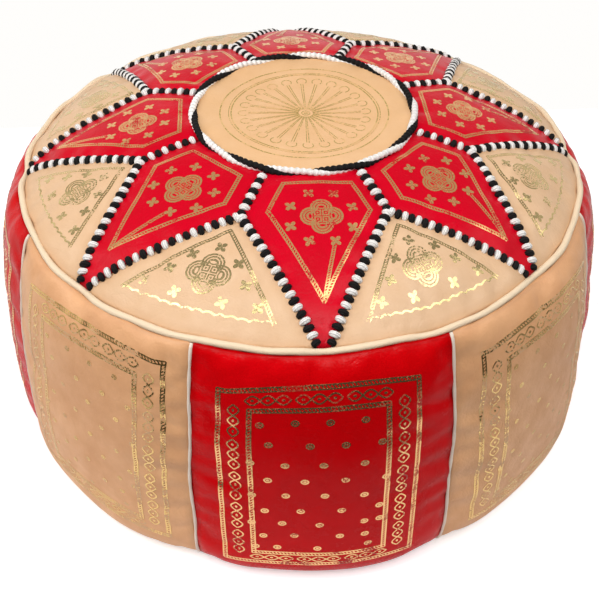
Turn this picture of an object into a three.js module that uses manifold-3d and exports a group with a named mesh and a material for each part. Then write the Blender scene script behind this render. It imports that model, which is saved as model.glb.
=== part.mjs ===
// A round stuffed leather pouf: an eight-pointed star of red kites and natural gussets on top, eight side
// panels in turn red and natural, welts and piping in the seams, thick two-colour cords over the star's
// seams, and a two-part base closed by a zip whose slider and pull move.
// Millimetres, +Z up. The origin is the middle of the footprint, on the floor. Star point 1 points along -Y.
import * as THREE from "three";
import { mergeVertices } from "three/addons/utils/BufferGeometryUtils.js";
import Module from "manifold-3d";

const wasm = await Module();
wasm.setup();

// ---- Driving dimensions ----
const RIM_RADIUS = 235; // the seam where the top meets the sides
const RIM_HEIGHT = 233;
const CROWN_RISE = 53; // how far the top would dome above the rim at its middle
const CROWN_POWER = 2.8; // a higher power keeps the top flat for longer
const SIDE_SWELL = 31; // how far the sides stand out past the rim
const SWELL_HEIGHT = 50; // where they stand out most
const SWELL_POWER = 1.9;
const FOOT_POWER = 4; // a higher power makes the lower corner tighter
const FOOT_RADIUS = 216; // the seam where the sides meet the base
const STAR_POINTS = 8;
const MEDALLION_RADIUS = 88;
const MEDALLION_DISH = 3;
const SHOULDER_RADIUS = 141; // where two star points and a gusset meet
const TIP_WIDTH = 10.5; // a star point is this wide where it ends at the rim
const LEATHER = 1.5;
const LINING = 0.8;
const PIPING_RADIUS = 3;
const WELT_RADIUS = 1.8;
const STAR_CORD_RADIUS = 3.6;
const MEDALLION_CORD_RADIUS = 4;
const ZIP_LENGTH = 300;
const ZIP_RECESS = 9.5; // how far above the floor the leather's lips hold the zip
const VALLEY_HALF_WIDTH = 34;
const LIP_GAP = 13; // between the two lips
const TAPE_WIDTH = 13;
const TAPE_THICKNESS = 0.6;
const TOOTH_PITCH = 6;
const TOOTH_LENGTH = 2.2;
const TOOTH_ROOT = 1.2;
const TOOTH_HEIGHT = 2.6;
const SLIDER_LENGTH = 15;
const SLIDER_WIDTH = 11;
const SLIDER_PLATE = 1.2;
const SLIDER_POST = 1.4; // the wedge that parts the two rows of teeth
const BRIDGE_WIDTH = 2;
const BRIDGE_BAR = 1;
const BRIDGE_GAP = 2.2; // between the bridge and the plate, where the pull's bar turns
const BRIDGE_LENGTH = 10;
const PULL_LENGTH = 27;
const PULL_WIDTH = 7.5;
const PULL_THICKNESS = 1.2;
const STOP_LENGTH = 3;
const ZIP_ENDS = 20; // the slot in the base runs this far past the teeth, so that the pull clears its end

// ---- Clearances ----
const GAP = 0.3; // between pieces that touch on the real object
const SEAM_GAP = 0.5; // between two pieces of leather that are sewn edge to edge
const CORD_LIFT = 0.5; // the cords lie this far off the leather
const SEAM_ALLOWANCE = 2.6; // room inside the leather for its turned-in edges
const RUNNING = 0.3; // between the slider and the teeth it runs on
const STOP_GAP = 0.4; // the slider stops this far from a stop

// ---- Facets ----
const ROUND = 6 * STAR_POINTS; // sides of the cover's round shapes
const ROUND_INNER = 3 * STAR_POINTS; // of the lining and the stuffing
const CORD_SIDES = 6;
const WELT_SIDES = 5;

const SECTOR = (2 * Math.PI) / STAR_POINTS;
const FAR = 2 * (RIM_RADIUS + SIDE_SWELL); // past the outside of everything
const FLOOR = 0;

const red = new THREE.MeshStandardMaterial({ color: 0xb80a10, roughness: 0.4, metalness: 0 });
const natural = new THREE.MeshStandardMaterial({ color: 0xe2b07e, roughness: 0.5, metalness: 0 });
const cream = new THREE.MeshStandardMaterial({ color: 0xead3ad, roughness: 0.55, metalness: 0 });
const yarn = new THREE.MeshStandardMaterial({ color: 0x1c1a19, roughness: 0.85, metalness: 0 });
const cotton = new THREE.MeshStandardMaterial({ color: 0xd9d2c2, roughness: 0.9, metalness: 0 });
const wadding = new THREE.MeshStandardMaterial({ color: 0xe9e6de, roughness: 1, metalness: 0 });
const tapeCloth = new THREE.MeshStandardMaterial({ color: 0xc9a877, roughness: 0.8, metalness: 0 });
const brass = new THREE.MeshStandardMaterial({ color: 0xb8923f, roughness: 0.35, metalness: 1 });

// ---- Helpers ----

function toSolid(geometry) {
  const bare = geometry.index ? geometry.toNonIndexed() : geometry.clone();
  bare.deleteAttribute("normal");
  bare.deleteAttribute("uv");
  const merged = mergeVertices(bare, 1e-3);
  return new wasm.Manifold(
    new wasm.Mesh({
      numProp: 3,
      vertProperties: merged.attributes.position.array,
      triVerts: new Uint32Array(merged.index.array),
    }),
  );
}

function toGeometry(solid) {
  const mesh = solid.getMesh();
  const places = new Float32Array(mesh.numVert * 3);
  for (let i = 0; i < mesh.numVert; i++)
    places.set(mesh.vertProperties.subarray(i * mesh.numProp, i * mesh.numProp + 3), i * 3);
  return new THREE.BufferGeometry()
    .setAttribute("position", new THREE.BufferAttribute(places, 3))
    .setIndex(new THREE.BufferAttribute(new Uint32Array(mesh.triVerts), 1));
}

function piece(name, shape, material) {
  const geometry = shape.isBufferGeometry ? shape : toGeometry(shape);
  const mesh = new THREE.Mesh(geometry, material);
  mesh.name = name;
  return mesh;
}

// A solid of revolution about Z from a closed profile of [radius, height] pairs.
function turned(profile, sides) {
  const points = profile.map(([r, z]) => new THREE.Vector2(r, z));
  return new THREE.LatheGeometry(points, sides).rotateX(Math.PI / 2);
}

// An upright prism from an outline of [x, y] pairs.
function prism(outline, low, high) {
  const shape = new THREE.Shape(outline.map(([x, y]) => new THREE.Vector2(x, y)));
  const geometry = new THREE.ExtrudeGeometry(shape, { depth: high - low, bevelEnabled: false });
  return toSolid(geometry.translate(0, 0, low));
}

function cylinder(radius) {
  return toSolid(new THREE.CylinderGeometry(radius, radius, 2 * FAR, ROUND).rotateX(Math.PI / 2));
}

function box(low, high) {
  const size = high.map((h, i) => h - low[i]);
  const middle = high.map((h, i) => (h + low[i]) / 2);
  return new THREE.BoxGeometry(...size).translate(...middle);
}

function tube(points, radius, sides, steps) {
  const ring = Array.from({ length: sides }, (_, i) => {
    const a = (2 * Math.PI * i) / sides;
    return new THREE.Vector2(radius * Math.cos(a), radius * Math.sin(a));
  });
  const extrudePath = new THREE.CatmullRomCurve3(points);
  return new THREE.ExtrudeGeometry(new THREE.Shape(ring), { steps, extrudePath, bevelEnabled: false });
}

// The plan of a point at an angle turned from -Y towards -X, so that star point 1 faces -Y.
function plan(radius, angle) {
  return [-radius * Math.sin(angle), -radius * Math.cos(angle)];
}

// A convex outline, given anticlockwise, drawn in by a distance on every side.
function drawnIn(outline, distance) {
  const n = outline.length;
  const sides = outline.map(([x0, y0], i) => {
    const [x1, y1] = outline[(i + 1) % n];
    const length = Math.hypot(x1 - x0, y1 - y0);
    const [nx, ny] = [-(y1 - y0) / length, (x1 - x0) / length];
    return { nx, ny, c: nx * x0 + ny * y0 + distance };
  });
  return sides.map((b, i) => {
    const a = sides[(i + n - 1) % n];
    const d = a.nx * b.ny - a.ny * b.nx;
    return [(a.c * b.ny - b.c * a.ny) / d, (a.nx * b.c - b.nx * a.c) / d];
  });
}

function offset(curve, distance) {
  return curve.map(([r, z], i) => {
    const [r0, z0] = curve[Math.max(i - 1, 0)];
    const [r1, z1] = curve[Math.min(i + 1, curve.length - 1)];
    const length = Math.hypot(r1 - r0, z1 - z0);
    const inward = [(z1 - z0) / length, -(r1 - r0) / length];
    return [Math.max(r + inward[0] * distance, 0), z + inward[1] * distance];
  });
}

// ---- The cover's outer surface, as curves in the plane of radius and height ----

function domeHeight(radius) {
  return RIM_HEIGHT + CROWN_RISE * (1 - Math.min(radius / RIM_RADIUS, 1) ** CROWN_POWER);
}

// The medallion dishes a little inside its cord.
function crownHeight(radius) {
  if (radius >= MEDALLION_RADIUS) return domeHeight(radius);
  return domeHeight(MEDALLION_RADIUS) - MEDALLION_DISH * (1 - (radius / MEDALLION_RADIUS) ** 2);
}

function sideRadius(height) {
  const widest = RIM_RADIUS + SIDE_SWELL;
  if (height >= SWELL_HEIGHT) {
    const u = (RIM_HEIGHT - height) / (RIM_HEIGHT - SWELL_HEIGHT);
    return RIM_RADIUS + SIDE_SWELL * (1 - (1 - u) ** SWELL_POWER) ** (1 / SWELL_POWER);
  }
  const v = (SWELL_HEIGHT - height) / SWELL_HEIGHT;
  return FOOT_RADIUS + (widest - FOOT_RADIUS) * Math.max(1 - v ** FOOT_POWER, 0) ** (1 / FOOT_POWER);
}

// Heights from high to low, closer together round the lower corner.
function sideCurve(top, upperSteps, lowerSteps) {
  const upper = Array.from({ length: upperSteps }, (_, i) => top + ((SWELL_HEIGHT - top) * i) / upperSteps);
  const lower = Array.from({ length: lowerSteps + 1 }, (_, i) => {
    const turn = (Math.PI / 2) * (i / lowerSteps);
    return SWELL_HEIGHT * (1 - Math.sin(turn) ** (2 / FOOT_POWER));
  });
  return [...upper, ...lower].map((z) => [sideRadius(z), z]);
}

function crownCurve(from, to, steps) {
  return Array.from({ length: steps + 1 }, (_, i) => {
    const r = from + ((to - from) * i) / steps;
    return [r, crownHeight(r)];
  });
}

// ---- Top: medallion, star points and gussets cut from one domed skin ----

const topEdge = RIM_RADIUS - PIPING_RADIUS - GAP; // the top's leather ends beside the piping
const sideTop = RIM_HEIGHT - PIPING_RADIUS - GAP;
const HIGH = RIM_HEIGHT + CROWN_RISE + 50;

const crown = [...crownCurve(0, MEDALLION_RADIUS, 2), ...crownCurve(MEDALLION_RADIUS, topEdge, 5).slice(1)];
const lowerCrown = crown.map(([r, z]) => [r, z - LEATHER]);
const topSkin = toSolid(turned([...lowerCrown, ...crown.toReversed()], ROUND));

function medallion() {
  return piece("top_medallion", topSkin.intersect(cylinder(MEDALLION_RADIUS)), natural);
}

const outsideMedallion = topSkin.subtract(cylinder(MEDALLION_RADIUS + SEAM_GAP));

// The seams in plan, for the star point at an angle: its two shoulders and the two ends of its tip.
function starCorners(angle) {
  const half = Math.asin(TIP_WIDTH / 2 / RIM_RADIUS);
  return {
    shoulders: [plan(SHOULDER_RADIUS, angle - SECTOR / 2), plan(SHOULDER_RADIUS, angle + SECTOR / 2)],
    tips: [plan(RIM_RADIUS, angle - half), plan(RIM_RADIUS, angle + half)],
    roots: [plan(MEDALLION_RADIUS, angle - SECTOR / 2), plan(MEDALLION_RADIUS, angle + SECTOR / 2)],
  };
}

function starPoint(k) {
  const { shoulders, tips, roots } = starCorners(k * SECTOR);
  const outline = [roots[1], shoulders[1], tips[1], tips[0], shoulders[0], roots[0]];
  const blank = prism(drawnIn(outline, SEAM_GAP / 2), FLOOR, HIGH);
  return piece(`star_point_${k + 1}`, outsideMedallion.intersect(blank), red);
}

function gusset(k) {
  const near = starCorners(k * SECTOR);
  const next = starCorners((k + 1) * SECTOR);
  const reach = FAR / RIM_RADIUS;
  const shoulder = near.shoulders[1];
  const extend = ([x, y]) => [shoulder[0] + (x - shoulder[0]) * reach, shoulder[1] + (y - shoulder[1]) * reach];
  const outline = [shoulder, extend(next.tips[0]), extend(near.tips[1])];
  const blank = prism(drawnIn(outline, SEAM_GAP / 2), FLOOR, HIGH);
  return piece(`star_gusset_${k + 1}`, outsideMedallion.intersect(blank), natural);
}

// ---- Sides: panels cut from one swelling skin, with a welt in each seam ----

const outerSide = sideCurve(sideTop, 4, 4);
const innerSide = offset(outerSide, LEATHER).map(([r, z], i, all) => {
  if (i === 0) return [r, sideTop];
  return i === all.length - 1 ? [FOOT_RADIUS, LEATHER] : [r, Math.max(z, LEATHER)];
});
const sideSkin = toSolid(turned([...outerSide.toReversed(), ...innerSide, outerSide.at(-1)], ROUND));

function sidePanel(k) {
  const left = plan(FAR, (k - 0.5) * SECTOR);
  const right = plan(FAR, (k + 0.5) * SECTOR);
  const blank = prism(drawnIn([[0, 0], right, left], WELT_RADIUS + GAP), FLOOR - 1, HIGH);
  return piece(`side_panel_${k + 1}`, sideSkin.intersect(blank), k % 2 ? natural : red);
}

// The welt lies half proud of the leather, and level with it on the floor.
function sideWelt(k) {
  const angle = (k + 0.5) * SECTOR;
  const points = outerSide.map(([r, z]) => {
    const [x, y] = plan(r, angle);
    return new THREE.Vector3(x, y, Math.max(z, FLOOR + WELT_RADIUS));
  });
  return piece(`side_welt_${k + 1}`, tube(points, WELT_RADIUS, WELT_SIDES, 12), cream);
}

function ringProfile(radius, height, thickness, sides) {
  const points = Array.from({ length: sides + 1 }, (_, i) => {
    const a = (-2 * Math.PI * i) / sides;
    return [radius + thickness * Math.cos(a), height - thickness * Math.sin(a)];
  });
  points[sides] = points[0];
  return points;
}

function rimPiping() {
  const profile = ringProfile(RIM_RADIUS, RIM_HEIGHT, PIPING_RADIUS, CORD_SIDES);
  return piece("rim_piping", turned(profile, ROUND), cream);
}

// ---- Cords over the star's seams ----

const medallionCordMiddle = MEDALLION_RADIUS + MEDALLION_CORD_RADIUS;

function medallionCord() {
  const height = crownHeight(MEDALLION_RADIUS) + MEDALLION_CORD_RADIUS + CORD_LIFT;
  const profile = ringProfile(medallionCordMiddle, height, MEDALLION_CORD_RADIUS, CORD_SIDES);
  return piece("medallion_cord", turned(profile, ROUND), yarn);
}

// A line of cord from one plan point to another, lying on the crown.
function cordAlong(from, to, steps) {
  const points = Array.from({ length: steps + 1 }, (_, i) => {
    const x = from[0] + ((to[0] - from[0]) * i) / steps;
    const y = from[1] + ((to[1] - from[1]) * i) / steps;
    const slope = Math.atan2(crownSlope(Math.hypot(x, y)), 1);
    const lift = (STAR_CORD_RADIUS + CORD_LIFT) / Math.cos(slope);
    return new THREE.Vector3(x, y, crownHeight(Math.hypot(x, y)) + lift);
  });
  return toSolid(tube(points, STAR_CORD_RADIUS, CORD_SIDES, steps));
}

function crownSlope(radius) {
  return (CROWN_RISE * CROWN_POWER * (radius / RIM_RADIUS) ** (CROWN_POWER - 1)) / RIM_RADIUS;
}

// One cord covers the seam between two star points, then forks along both sides of the gusset.
function starCord(k) {
  const near = starCorners(k * SECTOR);
  const next = starCorners((k + 1) * SECTOR);
  const shoulder = near.shoulders[1];
  const start = plan(medallionCordMiddle + MEDALLION_CORD_RADIUS + STAR_CORD_RADIUS / 2, (k + 0.5) * SECTOR);
  // Each arm ends before the piping's top.
  const share = 1 - (PIPING_RADIUS + STAR_CORD_RADIUS + GAP) / (RIM_RADIUS - SHOULDER_RADIUS);
  const end = ([x, y]) => [shoulder[0] + (x - shoulder[0]) * share, shoulder[1] + (y - shoulder[1]) * share];
  const stem = cordAlong(start, shoulder, 2);
  const arms = [cordAlong(shoulder, end(near.tips[1]), 5), cordAlong(shoulder, end(next.tips[0]), 5)];
  return piece(`star_cord_${k + 1}`, stem.add(arms[0]).add(arms[1]), yarn);
}

// ---- Base: two halves whose lips rise to the zip ----

const toothCount = Math.round(ZIP_LENGTH / TOOTH_PITCH); // each row has a whole number of teeth
const rowEnd = (toothCount * TOOTH_PITCH) / 2;
const lipEnd = rowEnd + ZIP_ENDS; // the slot between the lips ends here
const valleyEnd = Math.min(lipEnd + VALLEY_HALF_WIDTH, FOOT_RADIUS - 2 * GAP);

function smooth(t) {
  const s = Math.min(Math.max(t, 0), 1);
  return s * s * (3 - 2 * s);
}

function recess(x, y) {
  const across = smooth((VALLEY_HALF_WIDTH - Math.abs(y)) / (VALLEY_HALF_WIDTH - LIP_GAP / 2));
  const along = smooth((valleyEnd - Math.abs(x)) / (valleyEnd - lipEnd));
  return ZIP_RECESS * across * along;
}

function baseHalf(name, side) {
  const near = SEAM_GAP / 2;
  const sheet = new THREE.BoxGeometry(2 * FOOT_RADIUS, 1, LEATHER, 14, 6, 1);
  const places = sheet.getAttribute("position");
  for (let i = 0; i < places.count; i++) {
    // Grid lines gather towards the zip, and the x lines towards the valley's ends.
    const share = places.getY(i) + 0.5;
    const y = near + (FOOT_RADIUS - near) * share ** 2.2;
    const x = places.getX(i);
    places.setXYZ(i, x, y, places.getZ(i) + LEATHER / 2 + recess(x, y));
  }
  const slot = toSolid(box([-lipEnd, -LIP_GAP / 2, -1], [lipEnd, LIP_GAP / 2, 2 * ZIP_RECESS]));
  const half = toSolid(sheet).intersect(cylinder(FOOT_RADIUS - GAP)).subtract(slot);
  return piece(name, side > 0 ? half : half.rotate([0, 0, 180]), natural);
}

// ---- Zip ----

const tapeBottom = ZIP_RECESS + LEATHER + GAP;
const teethMiddle = tapeBottom + TAPE_THICKNESS / 2;
const teethInner = SLIDER_POST / 2 + RUNNING;
const teethOuter = teethInner + TOOTH_LENGTH + TOOTH_ROOT;

function tape(name, side) {
  const strip = box(
    [-lipEnd, teethOuter + GAP, tapeBottom],
    [lipEnd, teethOuter + GAP + TAPE_WIDTH, tapeBottom + TAPE_THICKNESS],
  );
  return piece(name, side > 0 ? strip : strip.rotateZ(Math.PI), tapeCloth);
}

// A row of moulded teeth on its root strip.
function teeth(name, side) {
  const start = -rowEnd;
  const crest = TOOTH_PITCH * 0.5;
  const outline = [];
  for (let i = 0; i < toothCount; i++) {
    const x = start + i * TOOTH_PITCH;
    outline.push([x, teethInner], [x + crest, teethInner]);
    outline.push([x + crest, teethInner + TOOTH_LENGTH], [x + TOOTH_PITCH, teethInner + TOOTH_LENGTH]);
  }
  outline.push([rowEnd, teethOuter], [start, teethOuter]);
  const shape = new THREE.Shape(outline.map(([x, y]) => new THREE.Vector2(x, y)));
  const row = new THREE.ExtrudeGeometry(shape, { depth: TOOTH_HEIGHT, bevelEnabled: false });
  row.translate(0, 0, teethMiddle - TOOTH_HEIGHT / 2);
  return piece(name, side > 0 ? row : row.rotateZ(Math.PI), brass);
}

function topStop(name, side) {
  const near = rowEnd + STOP_GAP;
  const [low, high] = side > 0 ? [teethInner, teethOuter] : [-teethOuter, -teethInner];
  const block = box(
    [near, low, teethMiddle - TOOTH_HEIGHT / 2],
    [near + STOP_LENGTH, high, teethMiddle + TOOTH_HEIGHT / 2],
  );
  return piece(name, block, brass);
}

function bottomStop() {
  const near = -rowEnd - STOP_GAP;
  const block = box(
    [near - STOP_LENGTH, -teethOuter, teethMiddle - TOOTH_HEIGHT / 2],
    [near, teethOuter, teethMiddle + TOOTH_HEIGHT / 2],
  );
  return piece("zip_bottom_stop", block, brass);
}

const sliderMiddle = rowEnd - SLIDER_LENGTH / 2; // the zip is closed
const plateTop = teethMiddle - TOOTH_HEIGHT / 2 - RUNNING; // of the plate that shows
const plateBottom = plateTop - SLIDER_PLATE;
const pullAxis = { x: sliderMiddle + 2, z: plateBottom - BRIDGE_GAP / 2 };
// It hangs until its tip all but meets the floor.
const pullDroop = Math.asin((pullAxis.z - PULL_THICKNESS / 2 - GAP - FLOOR) / PULL_LENGTH);

// Two plates joined by a narrow wedge between the rows of teeth, and a bridge for the pull.
function slider() {
  const [x0, x1] = [sliderMiddle - SLIDER_LENGTH / 2, sliderMiddle + SLIDER_LENGTH / 2];
  const innerPlate = teethMiddle + TOOTH_HEIGHT / 2 + RUNNING;
  const half = SLIDER_WIDTH / 2;
  const [b0, b1] = [sliderMiddle - BRIDGE_LENGTH / 2, sliderMiddle + BRIDGE_LENGTH / 2];
  const barTop = plateBottom - BRIDGE_GAP;
  const leg = (x) =>
    toSolid(box([x, -BRIDGE_WIDTH / 2, barTop - BRIDGE_BAR], [x + BRIDGE_BAR, BRIDGE_WIDTH / 2, plateTop]));
  const body = [
    toSolid(box([x0, -half, plateBottom], [x1, half, plateTop])),
    toSolid(box([x0, -half, innerPlate], [x1, half, innerPlate + SLIDER_PLATE])),
    toSolid(box([x1 - 5, -SLIDER_POST / 2, plateBottom], [x1 - 1, SLIDER_POST / 2, innerPlate + SLIDER_PLATE])),
    leg(b0),
    leg(b1 - BRIDGE_BAR),
    toSolid(box([b0, -BRIDGE_WIDTH / 2, barTop - BRIDGE_BAR], [b1, BRIDGE_WIDTH / 2, barTop])),
  ];
  return piece("zip_slider", body.reduce((all, one) => all.add(one)), brass);
}

// A flat tab with a window round the bridge; the bar at its end turns between bridge and plate.
function pull() {
  const bar = 1.1;
  const windowHalf = BRIDGE_WIDTH / 2 + 0.5;
  const windowEnd = Math.hypot(BRIDGE_LENGTH / 2 + 2, BRIDGE_GAP / 2 + BRIDGE_BAR) + 1;
  const half = PULL_WIDTH / 2;
  const outline = new THREE.Shape();
  outline.moveTo(bar / 2, -half);
  outline.lineTo(bar / 2, half);
  outline.lineTo(-PULL_LENGTH + half, half);
  outline.absarc(-PULL_LENGTH + half, 0, half, Math.PI / 2, (3 * Math.PI) / 2, false);
  outline.closePath();
  const hole = new THREE.Path();
  hole.moveTo(-bar / 2, -windowHalf);
  hole.lineTo(-windowEnd, -windowHalf);
  hole.lineTo(-windowEnd, windowHalf);
  hole.lineTo(-bar / 2, windowHalf);
  hole.closePath();
  outline.holes.push(hole);
  const tab = new THREE.ExtrudeGeometry(outline, { depth: PULL_THICKNESS, bevelEnabled: false, curveSegments: 4 });
  tab.translate(0, 0, -PULL_THICKNESS / 2).rotateY(-pullDroop);
  const mesh = piece("zip_pull", tab, brass);
  mesh.position.set(pullAxis.x, 0, pullAxis.z);
  return mesh;
}

// ---- Inside: a cotton bag, open above the zip, and the wadding it holds ----

const liningIn = LEATHER + SEAM_ALLOWANCE;

// The cover's own curve, drawn in all round and cut off at the corner under the rim piping.
function bagCurve(inset) {
  const crownPart = crownCurve(0, RIM_RADIUS - 1.6 * inset, 4).map(([r, z]) => [r, z - 1.25 * inset]);
  const sidePart = offset(outerSide, inset).map(([r, z]) => [r, Math.max(z, inset)]);
  return [...crownPart, ...sidePart, [0, inset]];
}

// Room over the zip: a long block cleared from the bag and from the stuffing.
function zipRoom(clear) {
  const high = teethMiddle + TOOTH_HEIGHT / 2 + RUNNING + SLIDER_PLATE + clear;
  return toSolid(
    box([-valleyEnd, -VALLEY_HALF_WIDTH, -1], [valleyEnd, VALLEY_HALF_WIDTH, Math.max(high, tapeBottom + clear)]),
  );
}

function lining() {
  const outer = toSolid(turned(bagCurve(liningIn).toReversed(), ROUND_INNER));
  const inner = toSolid(turned(bagCurve(liningIn + LINING).toReversed(), ROUND_INNER));
  return piece("lining", outer.subtract(inner).subtract(zipRoom(GAP)), cotton);
}

function stuffing() {
  const core = toSolid(turned(bagCurve(liningIn + LINING + GAP).toReversed(), ROUND_INNER));
  return piece("stuffing", core.subtract(zipRoom(GAP)), wadding);
}

// ---- The pouf, from the outside in ----

const pouf = new THREE.Group();
const round = Array.from({ length: STAR_POINTS }, (_, k) => k);
pouf.add(medallion(), ...round.map(starPoint), ...round.map(gusset));
pouf.add(...round.map(sidePanel), ...round.map(sideWelt), rimPiping());
pouf.add(medallionCord(), ...round.map(starCord));
pouf.add(baseHalf("base_half_back", 1), baseHalf("base_half_front", -1));
pouf.add(tape("zip_tape_back", 1), tape("zip_tape_front", -1));
pouf.add(teeth("zip_teeth_back", 1), teeth("zip_teeth_front", -1));
pouf.add(topStop("zip_top_stop_back", 1), topStop("zip_top_stop_front", -1), bottomStop());
pouf.add(slider(), pull());
pouf.add(lining(), stuffing());

export default pouf;
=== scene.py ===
"""A round stuffed leather pouf: an eight-pointed star of red kites and natural gussets round a stamped
medallion, bulging side panels in turn red and natural, two-colour whipped seams, and a zipped base."""

import math
import random

import bmesh
import bpy
from mathutils import Matrix, Vector, noise
from mathutils.bvhtree import BVHTree


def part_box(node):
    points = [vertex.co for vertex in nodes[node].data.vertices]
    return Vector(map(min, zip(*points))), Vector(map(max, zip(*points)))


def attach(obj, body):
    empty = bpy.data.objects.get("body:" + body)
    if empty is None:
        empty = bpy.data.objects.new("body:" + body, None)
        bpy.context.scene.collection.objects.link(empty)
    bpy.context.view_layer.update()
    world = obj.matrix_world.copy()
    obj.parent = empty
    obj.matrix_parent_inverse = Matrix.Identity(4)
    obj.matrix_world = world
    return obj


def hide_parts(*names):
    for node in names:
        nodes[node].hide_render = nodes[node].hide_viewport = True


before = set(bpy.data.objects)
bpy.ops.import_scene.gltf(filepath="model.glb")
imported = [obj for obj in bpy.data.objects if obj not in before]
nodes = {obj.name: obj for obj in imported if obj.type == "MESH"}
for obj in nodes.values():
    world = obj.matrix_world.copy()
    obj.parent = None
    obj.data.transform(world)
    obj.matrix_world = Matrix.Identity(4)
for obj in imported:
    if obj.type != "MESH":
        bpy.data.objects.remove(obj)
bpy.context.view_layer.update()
scene = bpy.context.scene

# ---- The camera ----
# It stands a little to the right of the front star point and looks down on the top.

CAMERA_TARGET = Vector((0.0002, 0, 0.0733))
CAMERA_DISTANCE = 0.981
CAMERA_TILT = math.radians(41.4)
CAMERA_TURN = 0.075  # from the front, towards the pouf's left
CAMERA_ROLL = 0.0059

camera_out = Vector((-math.sin(CAMERA_TURN), -math.cos(CAMERA_TURN), math.tan(CAMERA_TILT))).normalized()
camera = bpy.data.objects.new("camera", bpy.data.cameras.new("camera"))
camera.data.lens = 61.2
camera.data.sensor_width = 36
turned = (-camera_out).to_track_quat("-Z", "Y").to_matrix().to_4x4()
camera.matrix_world = (
    Matrix.Translation(CAMERA_TARGET + camera_out * CAMERA_DISTANCE)
    @ turned
    @ Matrix.Rotation(CAMERA_ROLL, 4, "Z")
)
scene.collection.objects.link(camera)
scene.camera = camera

# ---- The studio ----
# A white floor under four soft boxes. The room is white low down behind the pouf and beside it, and dark
# overhead and behind the camera, so that metal and polish have something to show.

scene.view_settings.view_transform = "Standard"
FLOOR_HALF = 0.44
FLOOR_GLOW = 0.45  # only what the camera sees, so the floor looks as white as the room


def wire(tree, source, target):
    tree.links.new(source, target)


def add_node(tree, kind, **settings):
    node = tree.nodes.new(kind)
    for key, value in settings.items():
        setattr(node, key, value)
    return node


def map_range(tree, value, low, high, to_low=0.0, to_high=1.0):
    node = add_node(tree, "ShaderNodeMapRange")
    for socket, number in zip(node.inputs[1:5], (low, high, to_low, to_high)):
        socket.default_value = number
    wire(tree, value, node.inputs[0])
    return node.outputs[0]


def arithmetic(tree, operation, first, second=0.0):
    node = add_node(tree, "ShaderNodeMath", operation=operation)
    for socket, value in zip(node.inputs, (first, second)):
        if isinstance(value, (int, float)):
            socket.default_value = value
        else:
            wire(tree, value, socket)
    return node.outputs[0]


def light_the_room():
    world = bpy.data.worlds.new("room")
    world.use_nodes = True
    tree = world.node_tree
    direction = add_node(tree, "ShaderNodeTexCoord").outputs["Generated"]
    parts = add_node(tree, "ShaderNodeSeparateXYZ")
    wire(tree, direction, parts.inputs[0])
    height = map_range(tree, parts.outputs["Z"], 0.28, 0.64, 0.9, 0.11)
    behind = map_range(tree, parts.outputs["Y"], -0.45, 0.3, 0.05, 1.0)
    beside = map_range(tree, parts.outputs["X"], 0.2, 0.9, 1.0, 0.72)
    glow = arithmetic(tree, "MULTIPLY", arithmetic(tree, "MULTIPLY", height, behind), beside)
    seen = add_node(tree, "ShaderNodeLightPath").outputs["Is Camera Ray"]
    wire(tree, arithmetic(tree, "MAXIMUM", glow, seen), tree.nodes["Background"].inputs["Strength"])
    tree.nodes["Background"].inputs["Color"].default_value = (1.0, 0.99, 0.97, 1)
    scene.world = world


def add_soft_box(name, place, width, depth, power):
    data = bpy.data.lights.new(name, "AREA")
    data.shape = "RECTANGLE"
    data.size = width
    data.size_y = depth
    data.energy = power
    lamp = bpy.data.objects.new(name, data)
    lamp.location = place
    lamp.rotation_euler = (Vector((0, 0, 0.15)) - Vector(place)).to_track_quat("-Z", "Y").to_euler()
    scene.collection.objects.link(lamp)


def lay_floor():
    bm = bmesh.new()
    bmesh.ops.create_grid(bm, x_segments=1, y_segments=1, size=FLOOR_HALF)
    mesh = bpy.data.meshes.new("floor")
    bm.to_mesh(mesh)
    floor = bpy.data.objects.new("floor", mesh)
    floor.location = (0, 0.01, -0.0004)
    scene.collection.objects.link(floor)
    material = bpy.data.materials.new("white_floor")
    material.use_nodes = True
    shader = material.node_tree.nodes["Principled BSDF"]
    shader.inputs["Base Color"].default_value = (0.84, 0.84, 0.84, 1)
    shader.inputs["Roughness"].default_value = 0.9
    shader.inputs["Emission Color"].default_value = (1, 1, 1, 1)
    tree = material.node_tree
    seen = add_node(tree, "ShaderNodeLightPath").outputs["Is Camera Ray"]
    wire(tree, arithmetic(tree, "MULTIPLY", seen, FLOOR_GLOW), shader.inputs["Emission Strength"])
    mesh.materials.append(material)


light_the_room()
add_soft_box("soft_box_left", (-1.6, -0.5, 1.7), 1.4, 1.4, 24)
add_soft_box("soft_box_right", (1.6, -0.3, 1.9), 1.2, 1.2, 9)
add_soft_box("soft_box_over", (0.1, -0.85, 2.25), 3.0, 1.2, 29)
add_soft_box("soft_box_front", (0.1, -1.3, 1.9), 0.8, 0.5, 12)
lay_floor()

# ---- The shape of the stuffed cover ----
# Goat leather pulled tight over the filling: a low dome of a top, sides that swell and then turn under at
# the floor, and a rim that the star's points draw in and down a little.

POINTS = 8
SECTOR = 2 * math.pi / POINTS
PIPING_RADIUS = 0.003
RIM_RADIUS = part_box("rim_piping")[1].x - PIPING_RADIUS
RIM_HEIGHT = sum(corner.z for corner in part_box("rim_piping")) / 2
FOOT_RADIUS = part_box("base_half_back")[1].x + 0.0003
MEDALLION_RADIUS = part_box("top_medallion")[1].x
CROWN_RISE = 0.053
CROWN_POWER = 2.8
MEDALLION_DISH = 0.003
SIDE_SWELL = 0.031
SWELL_HEIGHT = 0.05
SWELL_POWER = 1.9
FOOT_POWER = 4.0
SHOULDER_RADIUS = 0.141
TIP_WIDTH = 0.0105
TIP_DIPS = (0.0036, 0.0060, 0.0034, 0.0026, 0.0030, 0.0024, 0.0034, 0.0042)
TIP_SWINGS = (0.0, 0.065, 0.0, -0.01, 0.008, 0.0, 0.0, 0.0)  # how far round each point of the star is pulled
MIDDLE_SHIFT = Vector((0.0042, -0.0050, 0))


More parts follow.
